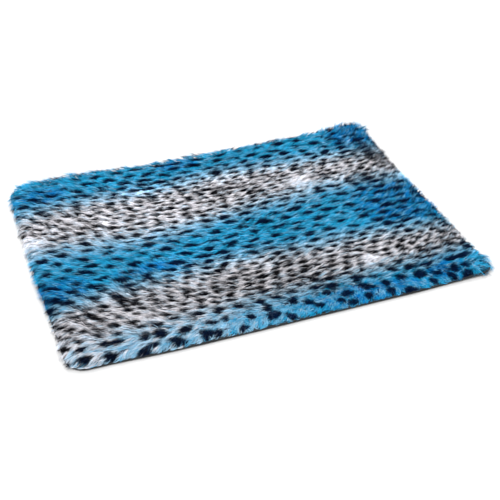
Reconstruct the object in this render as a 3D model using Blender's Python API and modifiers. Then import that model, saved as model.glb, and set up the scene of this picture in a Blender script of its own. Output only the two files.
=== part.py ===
"""A faux-fur dog crate mat, lying flat: a fur top panel over a dark backing panel.

Metres, +Z up. The origin is at the middle of the mat, on the surface that it lies on.
+X runs along the long side, and +Y across the mat towards its back edge.
The backing is a shallow tray, because the cloth turns up to the seam all round.
The fur top is a filled body that sits in the tray and stands out over its lip.
"""

import math
from collections import namedtuple

import bmesh
import bpy
import numpy as np
from mathutils import Vector

# The mat, over the tips of its pile
WIDTH = 0.614
DEPTH = 0.456

# The backing cloth, and the clearance between the two pieces
BACKING_THICKNESS = 0.0015
CLEARANCE = 0.0005
LIP_HEIGHT = 0.0048
UNDERSIDE = BACKING_THICKNESS + CLEARANCE
ABOVE_LIP = LIP_HEIGHT + CLEARANCE

# The fur top: its height where the top rolls into the side, and what its middle adds
SHOULDER_HEIGHT = 0.0126
CROWN = 0.0012
CROWN_POWER = 4

# One corner of the outline. A zone of this size holds it, and the grid is finer there.
CORNER_ZONE = 0.030
CORNER_STEPS = 4
CELL = 0.025

# A side's section, from below to above. The inset is how far a point lies inside the
# outline. The swell is how much of the crown and waves its height takes.
Section = namedtuple("Section", "inset height swell")
BACKING_SIDE = (
    Section(0.0078, 0.0, 0),
    Section(0.0044, 0.0006, 0),
    Section(0.0025, 0.0018, 0),
    Section(0.0018, 0.0034, 0),
    Section(0.0018, LIP_HEIGHT, 0),
)
FUR_SIDE = (
    Section(0.0096, UNDERSIDE, 0),
    Section(0.0064, 0.0028, 0),
    Section(0.0048, 0.0040, 0),
    Section(0.0040, ABOVE_LIP, 0),
    Section(0.0016, ABOVE_LIP, 0),
    Section(0.0004, 0.0066, 0),
    Section(0.0, 0.0084, 0.2),
    Section(0.0018, 0.0106, 0.5),
    Section(0.0058, 0.0120, 0.8),
    Section(0.0120, SHOULDER_HEIGHT, 1),
)

# The corner radii, by the side of X and of Y that the corner is on
Corner = namedtuple("Corner", "side_x side_y radius")
CORNERS = (
    Corner(-1, -1, 0.028),
    Corner(1, -1, 0.019),
    Corner(1, 1, 0.016),
    Corner(-1, 1, 0.025),
)

# How far each edge wanders out from its straight line, at places along it
Wander = namedtuple("Wander", "along out")
FRONT_EDGE = (
    Wander(-0.27, -0.0003),
    Wander(-0.15, 0.0033),
    Wander(-0.05, 0.0031),
    Wander(0.05, 0.0020),
    Wander(0.17, 0.0012),
    Wander(0.25, -0.0012),
)
BACK_EDGE = (
    Wander(-0.27, -0.0005),
    Wander(-0.19, -0.0010),
    Wander(-0.06, -0.0075),
    Wander(0.02, -0.0045),
    Wander(0.16, -0.0035),
    Wander(0.25, 0.0),
)
LEFT_EDGE = (Wander(-0.18, -0.0015), Wander(-0.02, 0.0), Wander(0.16, -0.0020))
RIGHT_EDGE = (
    Wander(-0.18, -0.0040),
    Wander(-0.06, -0.0055),
    Wander(0.08, -0.0045),
    Wander(0.14, -0.0020),
    Wander(0.19, 0.0),
)
WANDER_WHOLE = 0.020  # this near to an edge, a point takes all of its wander
WANDER_ENDS = 0.090  # and from here on, none of it

# Low waves in the top: crests along a heading, their length, height and start
Wave = namedtuple("Wave", "heading length height start")
WAVES = (
    Wave(0.35, 0.210, 0.00035, 0.4),
    Wave(1.75, 0.155, 0.00030, 1.9),
    Wave(2.55, 0.120, 0.00025, 3.1),
)

# The front right corner curls up a little
CURL_CORNER = Vector((WIDTH / 2, -DEPTH / 2))
CURL_HEIGHT = 0.0045
CURL_REACH = 0.085

WELD_DISTANCE = 0.00002
SMOOTH_ANGLE = math.radians(50)
ROOT_NAME = "dog_crate_mat"


def clear_scene():
    for obj in list(bpy.data.objects):
        bpy.data.objects.remove(obj, do_unlink=True)


def smooth_step(share):
    share = min(max(share, 0.0), 1.0)
    return share * share * (3 - 2 * share)


def wander_at(edge, along):
    """How far an edge stands out at a place along it, eased between the table's rows."""
    if along <= edge[0].along:
        return edge[0].out
    for before, after in zip(edge, edge[1:]):
        if along <= after.along:
            share = (along - before.along) / (after.along - before.along)
            return before.out + (after.out - before.out) * smooth_step(share)
    return edge[-1].out


def wander_share(distance):
    return 1 - smooth_step((distance - WANDER_WHOLE) / (WANDER_ENDS - WANDER_WHOLE))


def settled(point):
    """A point of the even mat, moved by the wander of the edges near it and by the curl."""
    x, y, z = point
    left = wander_at(LEFT_EDGE, y) * wander_share(x + WIDTH / 2)
    right = wander_at(RIGHT_EDGE, y) * wander_share(WIDTH / 2 - x)
    front = wander_at(FRONT_EDGE, x) * wander_share(y + DEPTH / 2)
    back = wander_at(BACK_EDGE, x) * wander_share(DEPTH / 2 - y)
    from_corner = (Vector((x, y)) - CURL_CORNER).length
    curl = CURL_HEIGHT * max(0.0, 1 - from_corner / CURL_REACH) ** 2
    return Vector((x - left + right, y - front + back, z + curl))


def unevenness(x, y):
    """The crown and the low waves of the fur's top, above its shoulder."""
    along = 1 - abs(2 * x / WIDTH) ** CROWN_POWER
    across = 1 - abs(2 * y / DEPTH) ** CROWN_POWER
    total = CROWN * along * across
    for wave in WAVES:
        distance = x * math.cos(wave.heading) + y * math.sin(wave.heading)
        total += wave.height * math.sin(2 * math.pi * distance / wave.length + wave.start)
    return total


def corner_radius(side_x, side_y):
    for corner in CORNERS:
        if (corner.side_x, corner.side_y) == (side_x, side_y):
            return corner.radius
    raise ValueError("no such corner")


def corner_outline(share, radius):
    """A point on the outline of one corner zone and its outward direction, measured from
    the zone's inner corner. The share runs from the end that faces X to the one that faces Y."""
    straight = CORNER_ZONE - radius
    arc = math.pi * radius / 2
    travelled = share * (2 * straight + arc)
    if travelled <= straight:
        return Vector((CORNER_ZONE, travelled)), Vector((1, 0))
    if travelled >= straight + arc:
        return Vector((2 * straight + arc - travelled, CORNER_ZONE)), Vector((0, 1))
    angle = (travelled - straight) / radius
    outward = Vector((math.cos(angle), math.sin(angle)))
    return Vector((straight, straight)) + radius * outward, outward


def rim_point(in_x, in_y, radius):
    """The outline's point that a grid point heads for, and its outward direction. The
    point's depth into the corner zone along each axis says where along the rim that is."""
    if in_y == 0:
        return Vector((CORNER_ZONE, 0)), Vector((1, 0))
    if in_x == 0:
        return Vector((0, CORNER_ZONE)), Vector((0, 1))
    share = 0.5 * in_y / in_x if in_x >= in_y else 1 - 0.5 * in_x / in_y
    return corner_outline(share, radius)


def fitted(x, y, inset):
    """Where a point of the square grid lies once its rim is inset in the outline, and
    which way is outward there."""
    side_x, side_y = (1 if x > 0 else -1), (1 if y > 0 else -1)
    inner_x, inner_y = WIDTH / 2 - CORNER_ZONE, DEPTH / 2 - CORNER_ZONE
    in_x = max(0.0, abs(x) - inner_x) / CORNER_ZONE
    in_y = max(0.0, abs(y) - inner_y) / CORNER_ZONE
    if in_x == 0 and in_y == 0:
        return Vector((x, y)), Vector((0, 0))
    start = Vector((min(abs(x), inner_x), min(abs(y), inner_y)))
    rim, outward = rim_point(in_x, in_y, corner_radius(side_x, side_y))
    place = start + max(in_x, in_y) * (rim - inset * outward)
    sides = Vector((side_x, side_y))
    return place * sides, outward * sides


def grid_lines(half):
    """The places of the grid's lines along one axis, closer together in the corner zones."""
    inner = half - CORNER_ZONE
    middle = np.linspace(-inner, inner, round(2 * inner / CELL) + 1)
    corner = np.linspace(inner, half, CORNER_STEPS + 1)[1:]
    return np.concatenate([-corner[::-1], middle, corner]).tolist()


def add_sheet(bm, outward_layer, section):
    """Adds a grid that fills the outline at a section's inset and height."""
    lines_x, lines_y = grid_lines(WIDTH / 2), grid_lines(DEPTH / 2)
    columns, rows = len(lines_x) - 1, len(lines_y) - 1
    made = bmesh.ops.create_grid(bm, x_segments=columns, y_segments=rows, size=1)
    for vert in made["verts"]:
        x = lines_x[round((vert.co.x + 1) / 2 * columns)]
        y = lines_y[round((vert.co.y + 1) / 2 * rows)]
        place, outward = fitted(x, y, section.inset)
        vert[outward_layer] = outward.to_3d()
        height = section.height + section.swell * unevenness(*place)
        vert.co = (place.x, place.y, height)


def add_side(bm, outward_layer, sections):
    """Extrudes the open rim through the sections, from the first one's place."""
    for before, section in zip(sections, sections[1:]):
        rim = [edge for edge in bm.edges if edge.is_boundary]
        made = bmesh.ops.extrude_edge_only(bm, edges=rim)["geom"]
        for vert in (item for item in made if isinstance(item, bmesh.types.BMVert)):
            place = vert.co + vert[outward_layer] * (before.inset - section.inset)
            height = section.height + section.swell * unevenness(place.x, place.y)
            vert.co = (place.x, place.y, height)


def add_object(bm, name, collection, material):
    """Settles the finished mesh, and links it as a smooth object."""
    for vert in bm.verts:
        vert.co = settled(vert.co)
    mesh = bpy.data.meshes.new(name)
    bm.to_mesh(mesh)
    bm.free()
    mesh.shade_smooth()
    mesh.set_sharp_from_angle(angle=SMOOTH_ANGLE)
    mesh.materials.append(material)
    obj = bpy.data.objects.new(name, mesh)
    collection.objects.link(obj)
    return obj


def cloth_material(name, colour, roughness):
    material = bpy.data.materials.new(name)
    material.use_nodes = True
    shader = material.node_tree.nodes["Principled BSDF"]
    shader.inputs["Base Color"].default_value = (*colour, 1)
    shader.inputs["Roughness"].default_value = roughness
    shader.inputs["Metallic"].default_value = 0
    return material


def make_fur_top(collection):
    """The filled top: an underside, a side that rolls out over the lip, and a crowned top."""
    bm = bmesh.new()
    outward_layer = bm.verts.layers.float_vector.new("outward")
    add_sheet(bm, outward_layer, FUR_SIDE[0])
    add_side(bm, outward_layer, FUR_SIDE)
    add_sheet(bm, outward_layer, FUR_SIDE[-1])
    bmesh.ops.remove_doubles(bm, verts=bm.verts, dist=WELD_DISTANCE)
    bmesh.ops.recalc_face_normals(bm, faces=bm.faces)
    material = cloth_material("fur", (0.05, 0.26, 0.48), 0.85)
    return add_object(bm, "fur_top", collection, material)


def make_backing(collection):
    """The backing: an open tray that is given the cloth's thickness on its inner side."""
    bm = bmesh.new()
    outward_layer = bm.verts.layers.float_vector.new("outward")
    add_sheet(bm, outward_layer, BACKING_SIDE[0])
    add_side(bm, outward_layer, BACKING_SIDE)
    bmesh.ops.recalc_face_normals(bm, faces=bm.faces)
    if sum(face.normal.z for face in bm.faces) > 0:
        bmesh.ops.reverse_faces(bm, faces=bm.faces)
    material = cloth_material("backing", (0.022, 0.022, 0.026), 0.9)
    backing = add_object(bm, "backing", collection, material)
    shell = backing.modifiers.new("thickness", "SOLIDIFY")
    shell.thickness = BACKING_THICKNESS
    shell.offset = -1
    shell.use_even_offset = True
    return backing


def main():
    clear_scene()
    collection = bpy.data.collections.new(ROOT_NAME)
    bpy.context.scene.collection.children.link(collection)
    root = bpy.data.objects.new(ROOT_NAME, None)
    collection.objects.link(root)
    for piece in (make_backing(collection), make_fur_top(collection)):
        piece.parent = root


main()
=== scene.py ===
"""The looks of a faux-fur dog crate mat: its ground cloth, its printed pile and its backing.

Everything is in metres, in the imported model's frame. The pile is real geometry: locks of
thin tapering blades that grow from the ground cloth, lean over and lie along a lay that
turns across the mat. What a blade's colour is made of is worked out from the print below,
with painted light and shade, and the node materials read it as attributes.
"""

import math
from collections import namedtuple

import bpy
import numpy as np
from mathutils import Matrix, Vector


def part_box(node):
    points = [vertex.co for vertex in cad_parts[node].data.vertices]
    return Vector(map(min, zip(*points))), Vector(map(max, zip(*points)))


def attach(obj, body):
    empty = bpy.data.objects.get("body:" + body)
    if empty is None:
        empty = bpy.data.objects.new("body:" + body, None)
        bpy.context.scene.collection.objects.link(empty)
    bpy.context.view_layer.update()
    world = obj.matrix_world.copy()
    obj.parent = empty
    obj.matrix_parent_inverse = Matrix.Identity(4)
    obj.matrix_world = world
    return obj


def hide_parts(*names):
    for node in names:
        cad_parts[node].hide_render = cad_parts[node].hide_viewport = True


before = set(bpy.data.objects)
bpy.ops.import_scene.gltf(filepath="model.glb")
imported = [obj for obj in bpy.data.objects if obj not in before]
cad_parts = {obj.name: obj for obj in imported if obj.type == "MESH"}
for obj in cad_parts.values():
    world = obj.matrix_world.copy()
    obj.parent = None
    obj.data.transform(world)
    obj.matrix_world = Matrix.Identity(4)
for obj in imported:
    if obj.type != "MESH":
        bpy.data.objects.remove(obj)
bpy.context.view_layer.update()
LOW, HIGH = (np.array(corner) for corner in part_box("fur_top"))  # the sides of the fur
FULL_TURN = 2 * math.pi
SEED = 11

# ---------------------------------------------------------------- small tools
# Unevenness that is a sum of waves: its size, the length of its waves and the seed they have
Ripple = namedtuple("Ripple", "size length seed")
WAVES = 7
WAVE_LENGTHS = (0.6, 1.7)  # the shortest and the longest wave, as shares of the ripple's length
SWELL = 1.2  # makes up for how seldom the waves meet
TINY = 1e-9  # keeps a vector without a length from dividing by 0

# Two ways for a patch to fade: how far out from its middle, in its own reaches, it still holds
# wholly, and where it ends
SOFTLY, FIRMLY = (0.3, 1.2), (0.45, 1.15)


def eased(value, start, end):
    """0 before start, 1 past end, and a smooth step between them."""
    share = np.clip((value - start) / (end - start), 0, 1)
    return share * share * (3 - 2 * share)


def near(distance, whole, none):
    """1 up to the first distance, and 0 from the second on."""
    return 1 - eased(distance, whole, none)


def ripple(x, y, length, seed, waves=WAVES):
    """Smooth unevenness from about -1 to 1: waves of about this length, on all headings."""
    rng = np.random.default_rng(seed)
    total = np.zeros(np.shape(x))
    for _ in range(waves):
        heading, start = rng.uniform(0, FULL_TURN, 2)
        pace = FULL_TURN / (length * rng.uniform(*WAVE_LENGTHS))
        total += np.sin(pace * (x * math.cos(heading) + y * math.sin(heading)) + start)
    return total / math.sqrt(waves * 2) * SWELL


def uneven(x, y, *ripples):
    """The sum of these ripples at each place."""
    return sum(each.size * ripple(x, y, each.length, each.seed) for each in ripples)


def away_from(patch, x, y):
    """How far each place is from the middle of a patch, in the patch's own reaches."""
    return np.hypot((x - patch.x) / patch.reach_x, (y - patch.y) / patch.reach_y)


def inside(patches, x, y):
    """1 in the middle of a patch, falling to 0 at its reach."""
    found = np.zeros_like(x)
    for patch in patches:
        found = np.maximum(found, near(away_from(patch, x, y), *FIRMLY))
    return found


def unit(vectors):
    return vectors / np.maximum(np.linalg.norm(vectors, axis=-1, keepdims=True), TINY)


def linear(red, green, blue):
    """The scene-linear colour of a display colour whose parts run from 0 to 255."""
    parts = np.array([red, green, blue]) / 255
    return tuple(np.where(parts < 0.04045, parts / 12.92, ((parts + 0.055) / 1.055) ** 2.4))


# ---------------------------------------------------------------- camera and light
AIM = Vector((0.0, -0.0505, 0.0))
AZIMUTH, ELEVATION = math.radians(-20.37), math.radians(35.08)
DISTANCE = 1.464
LENS = 72.6

Lamp = namedtuple("Lamp", "name azimuth elevation distance size power")
LAMPS = (
    Lamp("key", math.radians(-35), math.radians(62), 4.0, 2.2, 154),
    Lamp("back", math.radians(150), math.radians(50), 4.0, 2.4, 62),
)
SKY_STRENGTH = 0.98
FLOOR_SIZE, FLOOR_TONE, FLOOR_ROUGHNESS = 12, 0.57, 0.8


def direction_to(azimuth, elevation):
    """The unit vector towards a place at this azimuth, from -Y round to +X, and elevation."""
    flat = math.cos(elevation)
    return Vector((math.sin(azimuth) * flat, -math.cos(azimuth) * flat, math.sin(elevation)))


def place_looking_at(obj, position, target):
    obj.location = position
    obj.rotation_mode = "QUATERNION"
    obj.rotation_quaternion = (position - target).to_track_quat("Z", "Y")
    bpy.context.scene.collection.objects.link(obj)


def make_camera():
    camera = bpy.data.objects.new("camera", bpy.data.cameras.new("camera"))
    camera.data.lens = LENS
    place_looking_at(camera, AIM + DISTANCE * direction_to(AZIMUTH, ELEVATION), AIM)
    bpy.context.scene.camera = camera


def make_lamp(lamp):
    light = bpy.data.lights.new(lamp.name, "AREA")
    light.shape = "DISK"
    light.size = lamp.size
    light.energy = lamp.power
    position = AIM + lamp.distance * direction_to(lamp.azimuth, lamp.elevation)
    place_looking_at(bpy.data.objects.new(lamp.name, light), position, AIM)


def make_sky():
    world = bpy.data.worlds.new("studio")
    world.use_nodes = True
    sky = world.node_tree.nodes["Background"]
    sky.inputs["Color"].default_value = (1.0, 1.0, 1.0, 1)
    sky.inputs["Strength"].default_value = SKY_STRENGTH
    bpy.context.scene.world = world
    bpy.context.scene.view_settings.view_transform = "Standard"


def make_floor():
    bpy.ops.mesh.primitive_plane_add(size=FLOOR_SIZE)
    floor = bpy.context.object
    floor.name = "floor"
    material = bpy.data.materials.new("floor")
    material.use_nodes = True
    shader = material.node_tree.nodes["Principled BSDF"]
    shader.inputs["Base Color"].default_value = (FLOOR_TONE, FLOOR_TONE, FLOOR_TONE, 1)
    shader.inputs["Roughness"].default_value = FLOOR_ROUGHNESS
    floor.data.materials.append(material)


def make_studio():
    for lamp in LAMPS:
        make_lamp(lamp)
    make_sky()
    make_floor()


# ---------------------------------------------------------------- the stripes
# Stripes run along X. Going back, each row is where a stripe's colour changes, how far that
# line tilts, how far its ends bend forward, how far it sways to the back on the right and to
# the front on the left, over how much of the mat on each side of it the colour changes, and
# whether it turns blue.
Change = namedtuple("Change", "place tilt bend sway softness to_blue")
CHANGES = (
    Change(-0.181, 0.058, 0.000, 0.000, 0.030, False),
    Change(-0.082, 0.000, 0.032, 0.000, 0.036, True),
    Change(0.030, 0.055, -0.009, 0.013, 0.040, False),
    Change(0.146, 0.000, 0.014, 0.000, 0.042, True),
)
SWAY_LENGTH = 0.48
STRIPE_WANDER = Ripple(0.005, 0.16, 21)

# The front margin is where the bold spots are. It gives way between these distances from the
# front edge. Its blue pales towards the left side: each fade is by how much, the distance
# from that side up to which it does so wholly, and the distance where the fade ends.
FRONT_MARGIN = (0.036, 0.056)
Fade = namedtuple("Fade", "size whole none")
FADES = (Fade(0.5, 0.11, 0.40), Fade(0.2, 0.03, 0.08))
FADES_IN_FRONT = (0.035, 0.060)  # the distances from the front edge where the fades give way


def front_share(y):
    """1 in the front margin, 0 behind it."""
    return near(y - LOW[1], *FRONT_MARGIN)


def blue_share(x, y):
    """1 in a blue stripe, 0 in a white one."""
    wander = uneven(x, y, STRIPE_WANDER)
    share = np.ones_like(y)
    for change in CHANGES:
        line = change.place + change.tilt * x - change.bend * (x / HIGH[0]) ** 2 + wander
        line += change.sway * np.sin(FULL_TURN * x / SWAY_LENGTH)
        turned = eased(y, line - change.softness, line + change.softness)
        share += turned if change.to_blue else -turned
    pale = sum(fade.size * near(x - LOW[0], fade.whole, fade.none) for fade in FADES)
    pale *= near(y - LOW[1], *FADES_IN_FRONT)
    return share.clip(0, 1) * (1 - pale)


# ---------------------------------------------------------------- the spots
# The size of a spot and the spacing of the staggered rows that spots stand in
Spots = namedtuple("Spots", "length width row_step step")
SPOTS_IN_WHITE = Spots(0.0195, 0.0083, 0.0108, 0.0217)
SPOTS_IN_BLUE = Spots(0.0272, 0.0106, 0.0175, 0.0350)
SPOTS_IN_FRONT = Spots(0.0216, 0.0136, 0.0188, 0.0282)
STEPS = (0.92, 1.08)  # from one spot to the next, as shares of the spacing
PAST_FUR = 0.02  # how far past the fur's sides the rows go
FRONT_ROW = 0.011  # the first row's distance from the front edge
FRONT_ROW_THIN, FRONT_ROW_GAPS = (-0.12, 0.03), 0.30  # where, and which share, is left out

# How spots differ: the least and the greatest share of that size, the same for how much longer
# and narrower they are, and how far they stand off their places, turn and bend. What the
# front margin adds to a value comes after it.
SPOT_SIZES, FRONT_SIZES = np.array([0.78, 1.18]), np.array([-0.04, 0.07])
SPOT_SHAPES, FRONT_SHAPES = np.array([0.88, 1.16]), np.array([-0.06, 0.10])
SPOT_DRIFT, FRONT_DRIFT = 0.12, 0.22  # shares of the spacing
SPOT_TURN, FRONT_TURN = math.radians(8), math.radians(16)
SPOT_BEND = 0.35  # a share of half the width
BEND_REST = 0.4  # keeps a bent spot in the middle of its place

SPOT_TILT = math.radians(18)  # at the left edge, from none in the middle
FRONT_TILT = math.radians(5)  # in the middle of the front margin
FRONT_TILT_CHANGE = math.radians(-20)  # towards the right, and back again towards the left
FRONT_TILT_REACH = 0.12

# A spot's ink ends between these distances from its middle, as shares of half its size, with
# an uneven, stretched rim
INK_ENDS = (0.92, 1.12)
RIM, RIM_STRETCH = Ripple(0.12, 0.004, 31), 0.5
FAR = 9.0  # the same, for a place well outside any spot

# Plain patches with no spots and no smoke, bare ones with no spots, and those of a deeper blue
Patch = namedtuple("Patch", "x y reach_x reach_y")
PLAIN_PATCHES = (
    Patch(0.134, 0.082, 0.027, 0.020),
    Patch(0.147, -0.150, 0.019, 0.014),
    Patch(-0.298, 0.058, 0.016, 0.022),
)
BARE_PATCHES = (Patch(-0.300, 0.222, 0.055, 0.032), Patch(0.297, -0.204, 0.026, 0.024))
DEEP_PATCHES = (
    Patch(-0.280, -0.075, 0.050, 0.040),
    # Along the right edge this deeper blue is partly painted shade, where the fur is more shadowed
    Patch(0.250, -0.020, 0.080, 0.090),
    Patch(-0.035, 0.200, 0.045, 0.020),
    Patch(-0.260, 0.175, 0.050, 0.030),
    Patch(0.270, 0.190, 0.050, 0.050),
    Patch(0.110, -0.212, 0.120, 0.022),
    Patch(0.235, -0.200, 0.040, 0.030),
    Patch(-0.150, -0.065, 0.060, 0.016),
)

Spot = namedtuple("Spot", "x y length width tilt bend")


def spots_at(x, y):
    """The size and spacing of the spots at one place, as a Spots row."""
    blue = float(blue_share(np.array([x]), np.array([y]))[0])
    front = float(front_share(y))
    rows = zip(SPOTS_IN_WHITE, SPOTS_IN_BLUE, SPOTS_IN_FRONT)
    return Spots(*((a + (b - a) * blue) * (1 - front) + c * front for a, b, c in rows))


def draw_spot(x, y, kind, rng):
    """One spot of a kind, near this place."""
    front = float(front_share(y))
    drift = rng.uniform(-1, 1, 2) * (SPOT_DRIFT + FRONT_DRIFT * front)
    size = rng.uniform(*(SPOT_SIZES + FRONT_SIZES * front))
    shape = rng.uniform(*(SPOT_SHAPES + FRONT_SHAPES * front))
    front_tilt = FRONT_TILT + FRONT_TILT_CHANGE * math.tanh(x / FRONT_TILT_REACH)
    tilt = SPOT_TILT * min(x / HIGH[0], 0) * (1 - front) + front_tilt * front
    tilt += rng.normal(0, SPOT_TURN + FRONT_TURN * front)
    place = (x + drift[0] * kind.step, y + drift[1] * kind.row_step)
    bend = rng.normal(0, SPOT_BEND)
    return Spot(*place, kind.length * size * shape, kind.width * size / shape, tilt, bend)


def left_out(x, row, rng):
    """Whether this is one of the spots that the thin stretch of the first row leaves out."""
    thin = row == 0 and FRONT_ROW_THIN[0] < x < FRONT_ROW_THIN[1]
    return thin and rng.random() <= FRONT_ROW_GAPS


def place_spots():
    """All the spots, in staggered, uneven rows."""
    rng = np.random.default_rng(SEED)
    spots = []
    y, row = LOW[1] + FRONT_ROW, 0
    while y < HIGH[1] + PAST_FUR:
        x = LOW[0] - PAST_FUR - (row % 2) * spots_at(0, y).step / 2
        while x < HIGH[0] + PAST_FUR:
            kind = spots_at(x, y)
            spot = draw_spot(x, y, kind, rng)
            if not left_out(x, row, rng):
                spots.append(spot)
            x += kind.step * rng.uniform(*STEPS)
        y += spots_at(0, y).row_step
        row += 1
    return spots


def away_from_spot(spot, x, y):
    """How far places are from the middle of a spot, where 1 is its rim."""
    off_x, off_y = x - spot.x, y - spot.y
    turn_x, turn_y = math.cos(spot.tilt), math.sin(spot.tilt)
    along = (off_x * turn_x + off_y * turn_y) / (spot.length / 2)
    across = (off_y * turn_x - off_x * turn_y) / (spot.width / 2)
    return along**2 + np.abs(across + spot.bend * (along**2 - BEND_REST))


def ink_share(x, y, spots):
    """1 inside a spot, 0 outside all of them, with an uneven rim."""
    order = np.argsort(x)
    x, y = x[order], y[order]
    nearest = np.full(len(x), FAR)
    for spot in spots:
        first, last = np.searchsorted(x, (spot.x - spot.length, spot.x + spot.length))
        away = away_from_spot(spot, x[first:last], y[first:last])
        nearest[first:last] = np.minimum(nearest[first:last], away)
    rim = uneven(x * RIM_STRETCH, y, RIM)
    bare = np.maximum(inside(PLAIN_PATCHES, x, y), inside(BARE_PATCHES, x, y))
    ink = np.empty(len(x))
    ink[order] = near(nearest + rim, *INK_ENDS) * (1 - bare)
    return ink


# ---------------------------------------------------------------- light, dark and smoke
# Painted light and shade: where the lighting and the lay make the pile look lighter or darker than
# around it, and by how much
Tone = namedtuple("Tone", "x y reach_x reach_y change")
LIGHT_AND_SHADE_PATCHES = (
    Tone(-0.100, 0.082, 0.130, 0.040, 0.24),
    Tone(-0.060, -0.035, 0.120, 0.040, 0.12),
    Tone(-0.040, -0.102, 0.100, 0.024, 0.12),
    Tone(-0.090, 0.036, 0.060, 0.030, 0.16),
    Tone(-0.060, -0.125, 0.030, 0.020, -0.14),
    Tone(0.040, -0.090, 0.050, 0.020, -0.18),
    Tone(-0.180, -0.075, 0.035, 0.030, -0.12),
    Tone(0.290, 0.088, 0.025, 0.020, -0.16),
    Tone(0.000, 0.134, 0.190, 0.024, 0.18),
    Tone(-0.115, 0.145, 0.050, 0.022, 0.25),
    Tone(0.110, 0.055, 0.120, 0.026, 0.02),
    Tone(0.265, 0.120, 0.050, 0.030, -0.12),
    Tone(-0.265, 0.125, 0.050, 0.030, -0.10),
    Tone(0.100, -0.182, 0.200, 0.026, -0.12),
    Tone(-0.240, -0.185, 0.060, 0.030, -0.08),
    Tone(0.150, -0.115, 0.070, 0.025, 0.10),
    Tone(0.290, -0.200, 0.030, 0.030, 0.30),
    Tone(0.290, 0.052, 0.025, 0.024, 0.14),
    Tone(-0.285, -0.110, 0.030, 0.026, -0.10),
    Tone(-0.285, -0.180, 0.030, 0.020, 0.20),
    Tone(-0.060, 0.058, 0.035, 0.020, -0.18),
    Tone(-0.185, 0.056, 0.035, 0.022, 0.18),
    Tone(0.000, 0.018, 0.035, 0.022, 0.22),
    Tone(-0.125, 0.018, 0.035, 0.018, 0.16),
    Tone(-0.120, -0.070, 0.030, 0.034, 0.20),
    Tone(0.060, -0.120, 0.035, 0.020, -0.14),
    Tone(0.030, -0.150, 0.060, 0.020, -0.10),
    Tone(-0.140, 0.180, 0.060, 0.022, 0.18),
    Tone(0.280, -0.090, 0.030, 0.030, -0.12),
)

PLAIN_TONE, WHITE_TONE = 0.24, 0.07  # in the plain patches, and in the white
BLEND_TONE = 0.28  # times the shares of blue and of white, where the two blend
TONE_RIPPLE = Ripple(0.07, 0.032, 52)
RIPPLED_LEFT = (0.0, 0.15)  # the distances left of the middle where that ripple sets in
FORE_TONE, FORE = -0.10, (-0.120, -0.060)  # forward of these places, but for the margin
RIGHT_SHADE, RIGHT = -0.10, (0.010, 0.090)  # painted shade at these distances from the right side, where the fur is more shadowed
BACK_TONE, BACK = 0.05, (0.040, 0.070)  # behind these places
MARGIN_SHADE, MARGIN_SHADE_AT_RIGHT = -0.36, -0.32  # painted shade in the front margin, which rolls down over the front edge, and which makes up for the lighter roots there
MARGIN_RIGHT = (0.02, 0.12)
LOCK_TONE, LOCK_TONE_LOST_IN_MARGIN = 0.08, 0.6  # how much locks differ, and less of it there
BLADE_TONE = 0.10  # how much blades differ

# Where dark hairs mix into the white, and how many of the locks there are dark. Along the right
# edge the dark locks are partly dark hairs and partly painted shade between the locks.
Smoke = namedtuple("Smoke", "x y reach_x reach_y share")
SMOKE = (
    Smoke(-0.02, -0.140, 0.38, 0.050, 0.12),
    Smoke(0.03, -0.160, 0.11, 0.045, 0.34),
    Smoke(-0.18, -0.092, 0.05, 0.022, 0.30),
    Smoke(-0.275, -0.075, 0.05, 0.045, 0.14),
    Smoke(0.236, 0.048, 0.050, 0.044, 0.56),
    Smoke(0.285, 0.125, 0.055, 0.060, 0.62),
    Smoke(0.235, -0.206, 0.050, 0.022, 0.32),
    Smoke(0.245, -0.020, 0.070, 0.090, 0.24),
    Smoke(0.245, -0.155, 0.070, 0.045, 0.36),
    Smoke(0.060, -0.180, 0.070, 0.026, 0.40),
    Smoke(0.185, -0.182, 0.060, 0.022, 0.30),
    Smoke(0.000, -0.180, 0.340, 0.024, 0.22),
    Smoke(-0.020, 0.048, 0.340, 0.026, 0.14),
    Smoke(0.020, 0.162, 0.340, 0.018, 0.10),
    Smoke(-0.240, -0.185, 0.050, 0.030, 0.16),
    Smoke(0.250, 0.180, 0.060, 0.045, 0.22),
    Smoke(-0.240, 0.070, 0.070, 0.045, 0.12),
    Smoke(0.035, 0.092, 0.070, 0.040, 0.20),
)
SMOKE_FADES = (0.3, 1.1)
SMOKE_IN_WHITE, SMOKE_IN_BLUE = 0.03, 0.01
DARK_HAIRS_AND_SHADE_AT_RIGHT, SMOKY_RIGHT = 0.22, (0.010, 0.055)  # more of it along the right edge, partly dark hairs and partly painted shade between the locks
SMOKE_DEPTHS = (0.75, 1.0)  # of the least and the most smoky of the dark blades
SMOKE_ALONG = np.array([1, 1, 1, 0.85])  # at a blade's four levels

# Dark locks gather in strokes: how far apart those are, their stretch and their raggedness
STROKE = Ripple(1.0, 0.0075, 61)
STROKE_WAVES = 15
STROKE_STRETCH = 0.5
STROKE_NOISE = 0.22


def tone_and_shade_at(x, y):
    """How light the pile looks at each place: its own tone, with painted light and shade in the
    listed patches, and painted shade along the right side and in the front margin.
    """
    front = front_share(y)
    tone = 1 + FORE_TONE * near(y, *FORE) * (1 - front)
    tone *= 1 + PLAIN_TONE * inside(PLAIN_PATCHES, x, y)
    tone *= 1 + RIGHT_SHADE * near(HIGH[0] - x, *RIGHT)
    margin = MARGIN_SHADE + (MARGIN_SHADE_AT_RIGHT - MARGIN_SHADE) * eased(x, *MARGIN_RIGHT)
    tone *= 1 + margin * front + BACK_TONE * eased(y, *BACK)
    for patch in LIGHT_AND_SHADE_PATCHES:
        tone *= 1 + patch.change * near(away_from(patch, x, y), *SOFTLY)
    return tone * (1 + uneven(x, y, TONE_RIPPLE) * eased(-x, *RIPPLED_LEFT))


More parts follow.
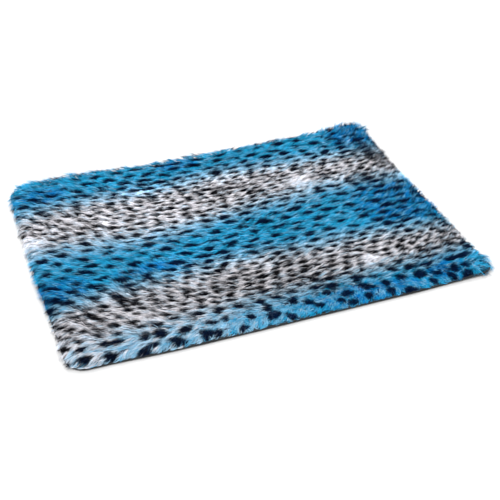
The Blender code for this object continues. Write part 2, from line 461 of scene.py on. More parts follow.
def smoke_share(x, y, blue):
    """The share of locks that are dark at a place."""
    found = SMOKE_IN_WHITE + (SMOKE_IN_BLUE - SMOKE_IN_WHITE) * blue
    for patch in SMOKE:
        found = np.maximum(found, patch.share * near(away_from(patch, x, y), *SMOKE_FADES))
    found = found + DARK_HAIRS_AND_SHADE_AT_RIGHT * near(HIGH[0] - x, *SMOKY_RIGHT)
    return found * (1 - inside(PLAIN_PATCHES, x, y))


def dark_locks(x, y, share, rng):
    """Which locks are dark: this share of them, gathered in short strokes along the lay."""
    strokes = ripple(x * STROKE_STRETCH, y, STROKE.length, STROKE.seed, STROKE_WAVES)
    strokes += rng.normal(0, STROKE_NOISE, len(x))
    rank = np.argsort(np.argsort(strokes)) / len(x)
    return rank < share


# ---------------------------------------------------------------- the ground cloth
GROUND_INSET, GROUND_INSET_AT_BACK = 0.0075, 0.0035
GROUND_HEIGHT_SHARE = 0.55  # of the height of the CAD's pad


def copy_of(node, name):
    """A new object that holds a copy of a CAD node's mesh."""
    piece = bpy.data.objects.new(name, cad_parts[node].data.copy())
    piece.data.materials.clear()
    bpy.context.scene.collection.objects.link(piece)
    return piece


def subdivide(piece):
    """Splits each face in four and moves nothing."""
    modifier = piece.modifiers.new("finer", "SUBSURF")
    modifier.subdivision_type = "SIMPLE"
    modifier.levels = 1
    modifier.render_levels = 1
    graph = bpy.context.evaluated_depsgraph_get()
    mesh = bpy.data.meshes.new_from_object(piece.evaluated_get(graph))
    piece.modifiers.clear()
    piece.data = mesh
    mesh.name = piece.name


def points_of(mesh):
    points = np.empty(len(mesh.vertices) * 3)
    mesh.vertices.foreach_get("co", points)
    return points.reshape(-1, 3)


def add_values(mesh, name, values):
    layer = mesh.attributes.new(name, "FLOAT", "POINT")
    layer.data.foreach_set("value", np.ascontiguousarray(values, dtype=np.float32))


def make_ground():
    """The fur's cloth: the CAD's pad, drawn in on all sides by the depth of the pile."""
    ground = copy_of("fur_top", "fur_ground")
    subdivide(ground)
    points = points_of(ground.data)
    insets = ((GROUND_INSET, GROUND_INSET), (GROUND_INSET, GROUND_INSET_AT_BACK))
    for axis, (low_inset, high_inset) in enumerate(insets):
        share = (points[:, axis] - LOW[axis]) / (HIGH[axis] - LOW[axis])
        points[:, axis] += low_inset * (1 - share) - high_inset * share
    points[:, 2] = LOW[2] + (points[:, 2] - LOW[2]) * GROUND_HEIGHT_SHARE
    ground.data.vertices.foreach_set("co", points.ravel())
    ground.data.shade_smooth()
    ground.data.update()
    add_values(ground.data, "blue", blue_share(points[:, 0], points[:, 1]))
    return ground


# ---------------------------------------------------------------- how the pile lies
# The zones of the mat. Each pair is the distance up to which a place belongs to one wholly,
# and the distance where the zone ends.
FALLS, FALLS_WANDER = (0.030, 0.046), Ripple(0.008, 0.045, 45)  # from the front edge
LIP, EDGE = (0.010, 0.026), (0.006, 0.014)
HANGS, HANGS_WANDER = (0.004, 0.026), Ripple(0.004, 0.030, 49)  # from the left side
STANDS, RIGHT_SIDE, SPIKY_SIDE = (0.010, 0.075), (0.004, 0.050), (0.004, 0.016)  # the right
BEHIND = (0.004, 0.022)  # from the back edge
HEM = (0.026, 0.052)  # from the front right corner
FRONT_LEFT, BACK_LEFT = (0.012, 0.034), (0.020, 0.050)  # from those corners
BACK_RIGHT, AROUND_BACK_RIGHT = (0.018, 0.032), (0.030, 0.070)

# Where zones set in. Each pair is the place or the height where one starts, and where it is
# whole.
HANGS_FURTHER, FURTHER_FROM = 0.022, (0.04, 0.14)  # by how much, and forward of the middle
STANDS_FROM = (0.04, 0.12)  # behind the front edge
SPIKES, SPIKES_FROM = Ripple(1.0, 0.006, 51), (0.4, 0.8)  # heights of that ripple
SHAG_FROM, SHAG_IN_FROM = (0.05, 0.20), (0.015, 0.050)  # left of the middle, off the left side
FLUFF_FROM = (-0.20, -0.06)  # along X

# Tufts along the back edge: where, how far they reach on both sides, and their size
Tuft = namedtuple("Tuft", "x whole none size")
TUFTS = (Tuft(-0.20, 0.02, 0.06, 1.0), Tuft(-0.045, 0.06, 0.10, 0.7))
TUFTS_FROM = (0.17, 0.24)  # along X, where the last one sets in and goes on

# The heading in the middle of the mat: to the right or to the left of a blurred parting, and
# to the back by so many degrees, with more of them towards both ends and in one patch
PARTING, PARTING_WANDER = (-0.10, 0.10), Ripple(0.05, 0.14, 53)
SWIRL = (Ripple(0.15, 0.085, 41), Ripple(0.10, 0.016, 47))
RISE = 4
RISE_AT_RIGHT, TO_THE_RIGHT = 12, (0.06, 0.29)
RISE_AT_LEFT, TO_THE_LEFT = 16, (0.06, 0.24)
RISE_IN_SWEPT, SWEPT = 20, Patch(-0.15, -0.09, 0.10, 0.05)

# The headings of the zones, as how far to the right, to the back and up. In front the pile
# fans out to both sides of a place along X, forward, and down by a share of that.
FAN, FAN_MIDDLE, FAN_REACH = 0.9, 0.13, 0.07
FAN_RIPPLES = (Ripple(0.30, 0.045, 42), Ripple(0.18, 0.014, 48))
FORWARD, FORWARD_AT_LIP, DOWN = 0.25, 0.30, 0.2
HANGING = np.array([-0.75, -0.55, -0.40])
STANDING = np.array([0.75, 0.55, 0.0])
TO_FRONT_RIGHT = np.array([0.90, -0.42, -0.10])
TO_BACK_LEFT = np.array([-0.75, 0.45, -0.15])
BEHIND_ASIDE, BEHIND_BACK = 0.8, 0.6

# How steeply the pile stands, and what the zones add
LEAN = math.radians(11)
LEAN_RIPPLES = (Ripple(math.radians(5), 0.03, 43), Ripple(math.radians(4), 0.012, 46))
LEAN_IN_SHAG, SHAG_RIPPLE = math.radians(3), Ripple(1.5, 0.035, 50)
LEAN_IN_ZONES = {"fluff": math.radians(3), "spikes": math.radians(10)}
RAISES, MOST_RAISED = {"stands": math.radians(16), "tufts": math.radians(14)}, math.radians(19)
LESS_RAISED = 0.7  # at the back right corner

# How long it is, and the share that each zone makes it longer by
LENGTH = 0.0180
LENGTH_RIPPLE, LONGER_IN_SHAG = Ripple(0.10, 0.04, 44), 0.10
LENGTH_IN_ZONES = {
    "fluff": -0.32,
    "only_hangs": -0.15,
    "right_side": -0.38,
    "spikes": 0.60,
    "edge": -0.30,
    "hem": 0.75,
    "front_left": -0.25,
}

# The same for the zones at the back right corner, which add up
LONGER_AT_BACK_RIGHT = {"around_back_right": 0.20, "back_right": 0.80}

# How far its tips droop, how unruly it is, and the shares of the zones where it fluffs out or
# curls over
DROOPS = {"lip": 0.0030, "hangs": 0.0065, "hem": 0.0060}
UNRULY = {"fluff": 0.5, "shag": 0.4, "stands": 1.2, "tufts": 0.8}
STANDING_FLUFF = 0.5
FALLING_CURL, HANGING_CURL = 0.5, 0.7

Lay = namedtuple("Lay", "heading lean length droop unruly fluff curl")


def zones_at(x, y):
    """How far each place belongs to each zone of the mat, from 0 to 1, by the zone's name."""
    left, right, front, back = x - LOW[0], HIGH[0] - x, y - LOW[1], HIGH[1] - y
    hangs_until = HANGS[1] + HANGS_FURTHER * eased(-y, *FURTHER_FROM)
    falls = near(front + uneven(x, y, FALLS_WANDER), *FALLS)
    hangs = near(left + uneven(x, y, HANGS_WANDER), HANGS[0], hangs_until)
    hem = near(np.hypot(right, front), *HEM)
    behind = near(back, *BEHIND)
    tufts = sum(tuft.size * near(np.abs(x - tuft.x), tuft.whole, tuft.none) for tuft in TUFTS)
    return {
        "falls": falls,
        "fluff": falls * eased(x, *FLUFF_FROM),
        "lip": near(front, *LIP),
        "edge": near(front, *EDGE) * (1 - hem),
        "hangs": hangs,
        "only_hangs": hangs * (1 - falls),
        "shag": eased(-x, *SHAG_FROM) * eased(left, *SHAG_IN_FROM),
        "stands": near(right, *STANDS) * eased(front, *STANDS_FROM),
        "right_side": near(right, *RIGHT_SIDE) * (1 - hem),
        "spikes": near(right, *SPIKY_SIDE) * eased(uneven(x, y, SPIKES), *SPIKES_FROM),
        "behind": behind,
        "tufts": behind * (tufts + eased(x, *TUFTS_FROM)),
        "hem": hem,
        "front_left": near(np.hypot(left, front), *FRONT_LEFT),
        "back_left": near(np.hypot(left, back), *BACK_LEFT),
        "back_right": near(np.hypot(right, back), *BACK_RIGHT),
        "around_back_right": near(np.hypot(right, back), *AROUND_BACK_RIGHT),
    }


def added(zones, changes):
    """The sum of what the zones add at each place."""
    return sum(change * zones[name] for name, change in changes.items())


def given_way(heading, zone, other):
    """A heading that has given way to another one in a zone."""
    zone = zone[:, None]
    return heading * (1 - zone) + zone * other


def heading_at(x, y, zones, rng):
    """Which way the pile lies at each place."""
    turns = eased(x + uneven(x, y, PARTING_WANDER), *PARTING)
    to_right = np.where(rng.random(len(x)) < turns, 1.0, -1.0)
    rise = RISE + RISE_AT_RIGHT * eased(x, *TO_THE_RIGHT)
    rise += RISE_AT_LEFT * eased(-x, *TO_THE_LEFT)
    rise += RISE_IN_SWEPT * near(away_from(SWEPT, x, y), *SOFTLY)
    rise = np.radians(rise) + uneven(x, y, *SWIRL) * to_right
    heading = np.stack([to_right * np.cos(rise), np.sin(rise), 0 * x], axis=1)

    fan = FAN * np.tanh((x - FAN_MIDDLE) / FAN_REACH) + uneven(x, y, *FAN_RIPPLES)
    forward = FORWARD + FORWARD_AT_LIP * zones["lip"]
    falling = np.stack([fan, -forward, -DOWN * forward], axis=1)
    outward = np.stack([to_right * BEHIND_ASIDE, BEHIND_BACK + 0 * x, 0 * x], axis=1)
    heading = given_way(heading, zones["falls"], falling)
    heading = given_way(heading, zones["hangs"], HANGING)
    heading = given_way(heading, zones["stands"], STANDING)
    heading = given_way(heading, zones["hem"], TO_FRONT_RIGHT)
    heading = given_way(heading, zones["back_left"], TO_BACK_LEFT)
    return given_way(heading, zones["behind"], outward)


def lean_at(x, y, zones):
    """How steeply the pile stands at each place."""
    lean = LEAN + uneven(x, y, *LEAN_RIPPLES) + added(zones, LEAN_IN_ZONES)
    lean += zones["shag"] * LEAN_IN_SHAG * (1 + uneven(x, y, SHAG_RIPPLE))
    raised = np.minimum(added(zones, RAISES), MOST_RAISED)
    return lean + raised * (1 - LESS_RAISED * zones["back_right"])


def length_at(x, y, zones):
    """How long the pile is at each place."""
    length = LENGTH * (1 + uneven(x, y, LENGTH_RIPPLE) + LONGER_IN_SHAG * zones["shag"])
    for name, change in LENGTH_IN_ZONES.items():
        length *= 1 + change * zones[name]
    return length * (1 + added(zones, LONGER_AT_BACK_RIGHT))


def lay_at(place, rng):
    """How the pile lies at each place, as a Lay of arrays."""
    x, y = place[:, 0], place[:, 1]
    zones = zones_at(x, y)
    heading = heading_at(x, y, zones, rng)
    fluff = np.maximum(zones["fluff"], STANDING_FLUFF * zones["stands"])
    curl = np.maximum(zones["lip"], FALLING_CURL * zones["falls"])
    curl = np.maximum(curl, HANGING_CURL * zones["hangs"])
    unruly = 1 + added(zones, UNRULY)
    lean, length = lean_at(x, y, zones), length_at(x, y, zones)
    return Lay(heading, lean, length, added(zones, DROOPS), unruly, fluff, curl)


# ---------------------------------------------------------------- the pile's blades
PIECES = 5
BLADES_A_PIECE = 37030
BLADES_A_LOCK = 7
LOOKS_DOWN = -0.25  # a face whose normal points further down than this has no pile

# A blade's corners are a left and a right one at each of three levels, and its tip. It has
# two quads and a triangle.
LEVELS = np.array([0.0, 0.34, 0.68, 1.0])  # shares of its length, root to tip
LEVEL_OF_CORNER = np.array([0, 0, 1, 1, 2, 2, 3])
SIDE_OF_CORNER = np.array([0, 1, 0, 1, 0, 1, 0.5])
CORNERS = len(LEVEL_OF_CORNER)
CORNERS_OF_FACES = np.array([0, 1, 3, 2, 2, 3, 5, 4, 4, 5, 6], np.int32)
FACE_STARTS = np.array([0, 4, 8], np.int32)

# How much the locks differ from the lay, and the blades from their locks. Lengths are shares.
Spread = namedtuple("Spread", "turn lean sway lengths blue")
LOCKS_DIFFER = Spread(0.11, math.radians(3.5), 0.18, (0.85, 1.15), 0.12)
BLADES_DIFFER = Spread(0.08, math.radians(3), 0.09, (0.72, 1.12), 0.05)
LOOSER_IN_FLUFF, WIDER_IN_FLUFF, LESS_GATHERED_IN_FLUFF = 4, 0.5, 0.8

# How far a lock's blades spread out at their roots, and draw together again to their tips
LOCK_SPREAD, GATHERING, GATHERING_CURVE = 0.0014, 0.72, 1.3

RISES = np.radians([28, -3, -15])  # what a blade's three stretches add to its lean
CURLS = np.radians([8, 16, 26])  # and what they take off where it falls over an edge
SWAYS = np.array([-0.6, 0.5, 1.0])  # how its sideways bend runs along it
HALF_WIDTHS = np.array([0.28, 0.30, 0.22]) * 0.001
WIDTHS = (0.75, 1.3)  # of the narrowest and the widest blade, as shares of that
ROLL = 0.5
CROWN_HEIGHT, CROWN_GIVE = 0.0205, 0.0045  # tips above this height level off within this much

# The backing's front line is the edge of its lip. Blades stay this far above the floor and,
# near that line, above the lip, some more than others.
FLOOR_CLEARANCE, LIP_CLEARANCE, RAGGED = 0.0008, 0.0046, 0.0016
LIP_REACH, LIP_UNTIL = 0.014, (0.275, 0.293)  # how near, and up to which places along X

# All but a few strays are drawn back by a share of what hangs past that line by more than the
# overhang, up to these places along X and while the line is this near to the fur's front
OVERHANG, DRAWN_BACK, STRAYS = 0.0004, 0.85, 0.05
DRAWN_UNTIL, DRAWN_NEAR = (0.285, 0.300), (0.016, 0.024)

Run = namedtuple("Run", "turn lean sway length")
Blades = namedtuple("Blades", "points normal shade blue")


def scatter(mesh, count, rng):
    """Places spread evenly over the faces that don't look down, with their normals."""
    mesh.calc_loop_triangles()
    corners = np.empty(len(mesh.loop_triangles) * 3, np.int32)
    mesh.loop_triangles.foreach_get("vertices", corners)
    corners = corners.reshape(-1, 3)
    points = points_of(mesh)
    normals = np.empty(len(mesh.vertices) * 3)
    mesh.vertices.foreach_get("normal", normals)
    normals = normals.reshape(-1, 3)
    a, b, c = (points[corners[:, k]] for k in range(3))
    cross = np.cross(b - a, c - a)
    area = np.linalg.norm(cross, axis=1) / 2
    area[cross[:, 2] < LOOKS_DOWN * 2 * area] = 0
    total = np.cumsum(area)
    draws = (np.arange(count) + rng.random(count)) / count * total[-1]
    face = np.searchsorted(total, draws).clip(0, len(corners) - 1)
    u, v = rng.random((2, count))
    u, v = np.where(u + v > 1, 1 - u, u), np.where(u + v > 1, 1 - v, v)
    shares = np.stack([1 - u - v, u, v], axis=1)[:, :, None]
    place = (points[corners[face]] * shares).sum(axis=1)
    normal = unit((normals[corners[face]] * shares).sum(axis=1))
    return place, normal


def front_line(mesh):
    """The front edge of a mesh that lies flat and bows out, as a function from x to y."""
    line = []
    for x, y in sorted(map(tuple, points_of(mesh)[:, :2])):
        while len(line) > 1 and turns_right(line[-2], line[-1], (x, y)):
            line.pop()
        line.append((x, y))
    places = np.array(line)
    return lambda x: np.interp(x, places[:, 0], places[:, 1])


def turns_right(first, second, third):
    run, rise = second[0] - first[0], second[1] - first[1]
    return run * (third[1] - first[1]) - rise * (third[0] - first[0]) <= 0


def each_blade(values):
    """The values of the locks, repeated for each of their blades."""
    return np.repeat(values, BLADES_A_LOCK, axis=0)


def run_of_locks(lay, rng):
    """How each lock turns, leans and sways, and how long it is."""
    locks = len(lay.lean)
    turn = rng.normal(0, LOCKS_DIFFER.turn, locks) * lay.unruly
    lean = lay.lean + rng.normal(0, LOCKS_DIFFER.lean, locks) * lay.unruly
    length = lay.length * rng.uniform(*LOCKS_DIFFER.lengths, locks)
    sway = rng.normal(0, LOCKS_DIFFER.sway, locks) * lay.unruly
    return Run(turn, lean, sway, length)


def run_of_blades(locks, loose, rng):
    """The same for each blade, from the run of its lock."""
    blades = len(loose)
    lean = each_blade(locks.lean) + rng.normal(0, BLADES_DIFFER.lean, blades)
    turn = each_blade(locks.turn) + rng.normal(0, BLADES_DIFFER.turn, blades) * loose
    sway = each_blade(locks.sway) + rng.normal(0, BLADES_DIFFER.sway, blades) * loose
    length = each_blade(locks.length) * rng.uniform(*BLADES_DIFFER.lengths, blades)
    return Run(turn, lean, sway, length)


def grown(roots, axes, run, curl):
    """The points of each blade at its levels, from its root up.

    axes are the way it lies, the way to its side and the way up."""
    forward, side, up = axes
    points = [roots]
    for gap, rise, drop, bend in zip(np.diff(LEVELS), RISES, CURLS, SWAYS):
        climb = (run.lean + rise - drop * curl)[:, None]
        aside = (run.turn + run.sway * bend)[:, None]
        flat = np.cos(aside) * forward + np.sin(aside) * side
        step = np.cos(climb) * flat + np.sin(climb) * up
        points.append(points[-1] + step * (run.length * gap)[:, None])
    return np.stack(points, axis=1)


def make_locks(ground, rng):
    """The pile's blades, in locks that share a place, a lay and a colour."""
    locks = PIECES * BLADES_A_PIECE // BLADES_A_LOCK
    place, normal = scatter(ground.data, locks, rng)
    lay = lay_at(place, rng)
    run = run_of_locks(lay, rng)
    shade = rng.normal(0, 1, locks)
    blue = rng.normal(0, LOCKS_DIFFER.blue, locks)

    normal, heading, fluff = each_blade(normal), each_blade(lay.heading), each_blade(lay.fluff)
    forward = unit(heading - normal * (heading * normal).sum(axis=1, keepdims=True))
    side = np.cross(normal, forward)
    offset = rng.normal(0, LOCK_SPREAD, (len(fluff), 2)) * (1 + WIDER_IN_FLUFF * fluff)[:, None]
    spread = forward * offset[:, :1] + side * offset[:, 1:]
    run = run_of_blades(run, each_blade(lay.unruly) + LOOSER_IN_FLUFF * fluff, rng)
    points = grown(each_blade(place) + spread, (forward, side, normal), run, each_blade(lay.curl))
    gathering = GATHERING * (1 - LESS_GATHERED_IN_FLUFF * fluff)[:, None, None]
    points -= spread[:, None, :] * gathering * LEVELS[None, :, None] ** GATHERING_CURVE
    points[:, :, 2] -= each_blade(lay.droop)[:, None] * LEVELS**2
    return Blades(points, normal, each_blade(shade), each_blade(blue))


def lift_from_edges(points, line, rng):
    """Lifts what would go into the floor or, along the front, over the backing's lip."""
    ragged = rng.uniform(0, RAGGED, len(points))[:, None]
    lip = (LIP_CLEARANCE - FLOOR_CLEARANCE) * near(points[:, :, 0], *LIP_UNTIL) + ragged
    at_lip = points[:, :, 1] < line + LIP_REACH
    lowest = FLOOR_CLEARANCE + np.where(at_lip, lip, 0)
    points[:, :, 2] = np.maximum(points[:, :, 2], lowest)


def level_crown(points):
    """Lets the highest tips level off."""
    above = np.maximum(points[:, :, 2] - CROWN_HEIGHT, 0)
    points[:, :, 2] += CROWN_GIVE * np.tanh(above / CROWN_GIVE) - above


def draw_back(points, line, rng):
    """Draws nearly all blades back to the backing's front line."""
    drawn = (rng.random(len(points)) > STRAYS)[:, None] * near(points[:, :, 0], *DRAWN_UNTIL)
    drawn = drawn * near(line - LOW[1], *DRAWN_NEAR)
    over = np.maximum(line - OVERHANG - points[:, :, 1], 0)
    points[:, :, 1] += DRAWN_BACK * over * drawn


def clear_the_edges(points, rng):
    front_of_backing = front_line(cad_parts["backing"].data)
    line = front_of_backing(points[:, :, 0])
    lift_from_edges(points, line, rng)
    level_crown(points)
    draw_back(points, line, rng)


def blade_outline(points, normal, rng):
    """The corners of each blade, which is widest across its run and rolled at random."""
    blades = len(points)
    along = unit(np.gradient(points, axis=1)[:, :3])
    flat = unit(np.cross(along, normal[:, None, :]))
    up = np.cross(flat, along)
    roll = rng.normal(0, ROLL, blades)[:, None, None]
    across = flat * np.cos(roll) + up * np.sin(roll)
    width = rng.uniform(*WIDTHS, blades)[:, None, None] * HALF_WIDTHS[None, :, None]
    left = points[:, :3] - across * width
    right = points[:, :3] + across * width
    pairs = np.stack([left, right], axis=2).reshape(blades, CORNERS - 1, 3)
    return np.concatenate([pairs, points[:, 3:]], axis=1)


def joined_blades(name, outlines):
    """One mesh of many blades."""
    number = np.arange(len(outlines), dtype=np.int32)[:, None]
    corners = (number * CORNERS + CORNERS_OF_FACES).ravel()
    starts = (number * len(CORNERS_OF_FACES) + FACE_STARTS).ravel()
    mesh = bpy.data.meshes.new(name)
    mesh.vertices.add(len(outlines) * CORNERS)
    mesh.vertices.foreach_set("co", outlines.ravel())
    mesh.loops.add(len(corners))
    mesh.loops.foreach_set("vertex_index", corners)
    mesh.polygons.add(len(starts))
    mesh.polygons.foreach_set("loop_start", starts)
    mesh.update(calc_edges=True)
    mesh.shade_smooth()
    return mesh


CELL_COLUMNS, CELL_ROWS = 341, 113  # enough cells for the blades of a piece
CELL_MARGIN_ACROSS, CELL_MARGIN_ALONG = 0.17, 0.06


def add_cells(mesh, blades):
    """A small cell of the texture map for each blade, root to tip up the cell."""
    index = np.arange(blades)
    column, row = index % CELL_COLUMNS, index // CELL_COLUMNS
    across = SIDE_OF_CORNER[CORNERS_OF_FACES]
    along = LEVELS[LEVEL_OF_CORNER[CORNERS_OF_FACES]]
    u = column[:, None] + CELL_MARGIN_ACROSS + across * (1 - 2 * CELL_MARGIN_ACROSS)
    v = row[:, None] + CELL_MARGIN_ALONG + along * (1 - 2 * CELL_MARGIN_ALONG)
    places = np.stack([u / CELL_COLUMNS, v / CELL_ROWS], axis=2)
    layer = mesh.uv_layers.new(name="OFBake")
    layer.data.foreach_set("uv", places.astype(np.float32).ravel())


# ---------------------------------------------------------------- the pile's colour
COLOUR_AT = 0.72  # how far along a blade the print that colours it is read
PRINT_FOLLOWS = 0.95  # how far the spots' print changes along a blade, against one colour
PRINT_PULL = 0.0013  # how far a lock may carry the print along its own run
MARGIN_BLUE, MARGIN_STREAKS = Ripple(0.12, 0.018, 51), 0.3  # how uneven the margin's blue is
DEEP_BLUE_SHARE, DEEP_BLUE_BY_SHADE = 0.75, 0.5  # in the deep patches, more in lighter locks
ALONG_CURVE, ALONG_IN_MARGIN = 1.5, 0.75  # painted shade at the roots and painted light at the tips: how blades lighten to the tip, and how light their roots start in the front margin
MOSTLY_INK = 0.5

Looks = namedtuple("Looks", "blue deep shade ink along")


def colour_places(points):
    """The place of each blade whose print colours it."""
    share = (COLOUR_AT - LEVELS[2]) / (LEVELS[3] - LEVELS[2])
    return points[:, 2] * (1 - share) + points[:, 3] * share


def ink_of(points, seen, spots, rng):
    """How much of a spot's ink each blade has at its levels."""
    run = unit(points[:, 3] - points[:, 1])
    pulled = each_blade(rng.normal(0, PRINT_PULL, len(points) // BLADES_A_LOCK))
    place = seen[:, None] + (points - seen[:, None]) * PRINT_FOLLOWS
    place += (run * pulled[:, None])[:, None]
    ink = ink_share(place[:, :, 0].ravel(), place[:, :, 1].ravel(), spots)
    return ink.reshape(len(points), len(LEVELS))


def smoke_of(x, y, blue, rng):
    """How dark the smoke makes each blade."""
    firsts = slice(None, None, BLADES_A_LOCK)
    share = smoke_share(x, y, blue)
    dark = dark_locks(x[firsts], y[firsts], share[firsts], rng)
    return each_blade(dark) * rng.uniform(*SMOKE_DEPTHS, len(x))


def looks_of(blades, spots, rng):
    """What the pile's material reads, for each blade and, for ink and along, at its levels."""
    seen = colour_places(blades.points)
    x, y, count = seen[:, 0], seen[:, 1], len(seen)
    margin = front_share(y)
    by_lock = LOCK_TONE * (1 - LOCK_TONE_LOST_IN_MARGIN * margin)
    shade = (1 + by_lock * blades.shade + rng.normal(0, BLADE_TONE, count)) * tone_and_shade_at(x, y)
    blue = blue_share(x, y) + margin * uneven(x, y, MARGIN_BLUE)
    shade *= 1 + BLEND_TONE * blue * (1 - blue)
    differs = blades.blue + rng.normal(0, BLADES_DIFFER.blue, count)
    blue = np.clip(blue + differs * (1 + MARGIN_STREAKS * margin), 0, 1)
    by_shade = np.clip(DEEP_BLUE_SHARE + DEEP_BLUE_BY_SHADE * blades.shade, 0, 1)
    ink = ink_of(blades.points, seen, spots, rng)
    ink = np.maximum(ink, smoke_of(x, y, blue, rng)[:, None] * SMOKE_ALONG)
    shade *= 1 + WHITE_TONE * (1 - blue)
    # along carries the painted shade at each blade's root and the painted light at its tip
    least = ALONG_IN_MARGIN * front_share(blades.points[:, 0, 1])[:, None]
    along = least + (1 - least) * LEVELS**ALONG_CURVE
    return Looks(blue, inside(DEEP_PATCHES, x, y) * by_shade, shade, ink, along)


def make_piece(name, outlines, looks, chosen):
    """One piece of the pile, of the chosen blades."""
    mesh = joined_blades(name, outlines[chosen])
    add_cells(mesh, len(chosen))
    for field in ("blue", "deep", "shade"):
        values = getattr(looks, field)[chosen]
        add_values(mesh, field, np.repeat(values, CORNERS))
    for field in ("ink", "along"):
        values = getattr(looks, field)[chosen]
        add_values(mesh, field, values[:, LEVEL_OF_CORNER].ravel())
    piece = bpy.data.objects.new(mesh.name, mesh)
    bpy.context.scene.collection.objects.link(piece)
    return piece


def make_pile(ground, spots):
    """The pile's pieces. Blades are dealt out by colour, so that each piece has all of them."""
    rng = np.random.default_rng(SEED)
    blades = make_locks(ground, rng)
    clear_the_edges(blades.points, rng)
    outlines = blade_outline(blades.points, blades.normal, rng)
    looks = looks_of(blades, spots, rng)
    order = np.lexsort((looks.shade, np.round(looks.blue, 1), looks.ink[:, 2] > MOSTLY_INK))
    chosen = [order[number::PIECES] for number in range(PIECES)]
    return [make_piece(f"pile_{k}", outlines, looks, mine) for k, mine in enumerate(chosen)]


# ---------------------------------------------------------------- materials
# DEEP_BLUE is the print's deeper blue and, along the right edge, partly painted shade
BLUE, PALE_BLUE, DEEP_BLUE = linear(32, 168, 218), linear(168, 210, 236), linear(0, 118, 196)
PALE_AT, DEEP_FROM = 0.45, 0.8  # shares of blue
WHITE = linear(240, 237, 243)
NAVY, CHARCOAL = linear(0, 25, 58), linear(14, 13, 16)
ROOT_LIGHT, TIP_LIGHT = 0.13, 1.18  # painted shade at the roots and painted light at the tips, times the colour
# The ground cloth's white and blue, darkened as painted shade between the blades
GROUND_WHITE_IN_SHADE, GROUND_BLUE_IN_SHADE = linear(120, 118, 124), linear(16, 70, 110)
BACKING_DARK, BACKING_LIGHT = linear(12, 14, 16), linear(30, 32, 35)

# The colour sockets of a mix node, which share their names with its other sockets
MIX_SHARE, MIX_FIRST, MIX_SECOND, MIX_COLOUR = 0, 6, 7, 2


class Nodes:
    """A short way to add nodes to a material and join them up."""

    def __init__(self, name):
        self.material = bpy.data.materials.new(name)
        self.material.use_nodes = True
        self.tree = self.material.node_tree
        self.shader = self.tree.nodes["Principled BSDF"]

    def put(self, socket, value):
        if isinstance(value, bpy.types.NodeSocket):
            self.tree.links.new(value, socket)
        elif isinstance(value, tuple) and len(value) == 3 and socket.type == "RGBA":
            socket.default_value = (*value, 1)
        else:
            socket.default_value = value

    def add(self, kind, inputs=(), **settings):
        node = self.tree.nodes.new(kind)
        for name, value in settings.items():
            setattr(node, name, value)
        for name, value in dict(inputs).items():
            self.put(node.inputs[name], value)
        return node

    def value(self, name):
        return self.add("ShaderNodeAttribute", attribute_name=name).outputs["Fac"]

    def mix(self, share, first, second, blend="MIX"):
        node = self.add("ShaderNodeMix", data_type="RGBA", blend_type=blend)
        values = ((MIX_SHARE, share), (MIX_FIRST, first), (MIX_SECOND, second))
        for number, value in values:
            self.put(node.inputs[number], value)
        return node.outputs[MIX_COLOUR]

    def dimmed(self, colour, light):
        """The colour times a number."""
        parts = {"Red": light, "Green": light, "Blue": light}
        grey = self.add("ShaderNodeCombineColor", parts).outputs["Color"]
        return self.mix(1.0, colour, grey, "MULTIPLY")

    def share(self, value, start, end):
        """How far a value has come from start to end, from 0 to 1."""
        inputs = {"Value": value, "From Min": start, "From Max": end}
        return self.add("ShaderNodeMapRange", inputs).outputs["Result"]

    def ramp(self, share, low, high):
        """The share from 0 to 1, spread between two other numbers."""
        inputs = {"Value": share, "To Min": low, "To Max": high}
        return self.add("ShaderNodeMapRange", inputs).outputs["Result"]

    def product(self, first, second):
        node = self.add("ShaderNodeMath", operation="MULTIPLY")
        self.put(node.inputs[0], first)
        self.put(node.inputs[1], second)
        return node.outputs[0]

    def noise(self, scale, detail=2.0):
        place = self.add("ShaderNodeTexCoord").outputs["Object"]
        inputs = {"Vector": place, "Scale": scale, "Detail": detail}
        return self.add("ShaderNodeTexNoise", inputs).outputs["Fac"]

    def bump(self, height, distance, strength):
        inputs = {"Height": height, "Distance": distance, "Strength": strength}
        normal = self.add("ShaderNodeBump", inputs).outputs["Normal"]
        self.put(self.shader.inputs["Normal"], normal)


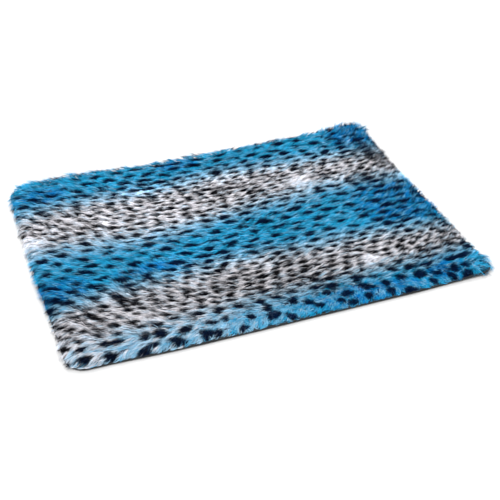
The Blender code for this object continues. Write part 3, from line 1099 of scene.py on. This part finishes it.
def pile_material():
    nodes = Nodes("pile")
    blue, ink, deep = nodes.value("blue"), nodes.value("ink"), nodes.value("deep")
    dye = nodes.mix(nodes.share(blue, 0, PALE_AT), WHITE, PALE_BLUE)
    dye = nodes.mix(nodes.share(blue, PALE_AT, 1), dye, BLUE)
    dye = nodes.mix(nodes.product(deep, nodes.share(blue, DEEP_FROM, 1)), dye, DEEP_BLUE)
    colour = nodes.mix(ink, dye, nodes.mix(blue, CHARCOAL, NAVY))
    # painted shade at the roots and painted light at the tips, times each blade's shade
    light = nodes.ramp(nodes.value("along"), low=ROOT_LIGHT, high=TIP_LIGHT)
    light = nodes.product(light, nodes.value("shade"))
    light = nodes.product(light, nodes.ramp(nodes.noise(scale=900, detail=3), low=0.85, high=1.15))
    roughness = nodes.ramp(nodes.noise(scale=400), low=0.42, high=0.62)
    nodes.put(nodes.shader.inputs["Base Color"], nodes.dimmed(colour, light))
    nodes.put(nodes.shader.inputs["Roughness"], roughness)
    nodes.shader.inputs["Specular IOR Level"].default_value = 0.015
    nodes.bump(nodes.noise(scale=2500), distance=0.0002, strength=0.3)
    return nodes.material


def ground_material():
    nodes = Nodes("ground")
    # the cloth's colours with painted shade, as it is seen only between the blades
    dye = nodes.mix(nodes.value("blue"), GROUND_WHITE_IN_SHADE, GROUND_BLUE_IN_SHADE)
    weave = nodes.ramp(nodes.noise(scale=1200, detail=3), low=0.5, high=1.0)
    nodes.put(nodes.shader.inputs["Base Color"], nodes.dimmed(dye, weave))
    nodes.shader.inputs["Roughness"].default_value = 0.9
    nodes.bump(nodes.noise(scale=1500), distance=0.0004, strength=0.6)
    return nodes.material


def backing_material():
    nodes = Nodes("backing")
    weave = nodes.noise(scale=700, detail=4)
    nodes.put(nodes.shader.inputs["Base Color"], nodes.mix(weave, BACKING_DARK, BACKING_LIGHT))
    nodes.shader.inputs["Roughness"].default_value = 0.85
    nodes.bump(weave, distance=0.0003, strength=0.7)
    return nodes.material


# ---------------------------------------------------------------- the making
make_camera()
make_studio()

spots = place_spots()
ground = make_ground()
ground.data.materials.append(ground_material())
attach(ground, "root")
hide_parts("fur_top")

material = pile_material()
for piece in make_pile(ground, spots):
    piece.data.materials.append(material)
    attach(piece, "root")

backing = copy_of("backing", "backing_cloth")
subdivide(backing)
backing.data.shade_smooth()
backing.data.materials.append(backing_material())
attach(backing, "root")
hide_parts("backing")
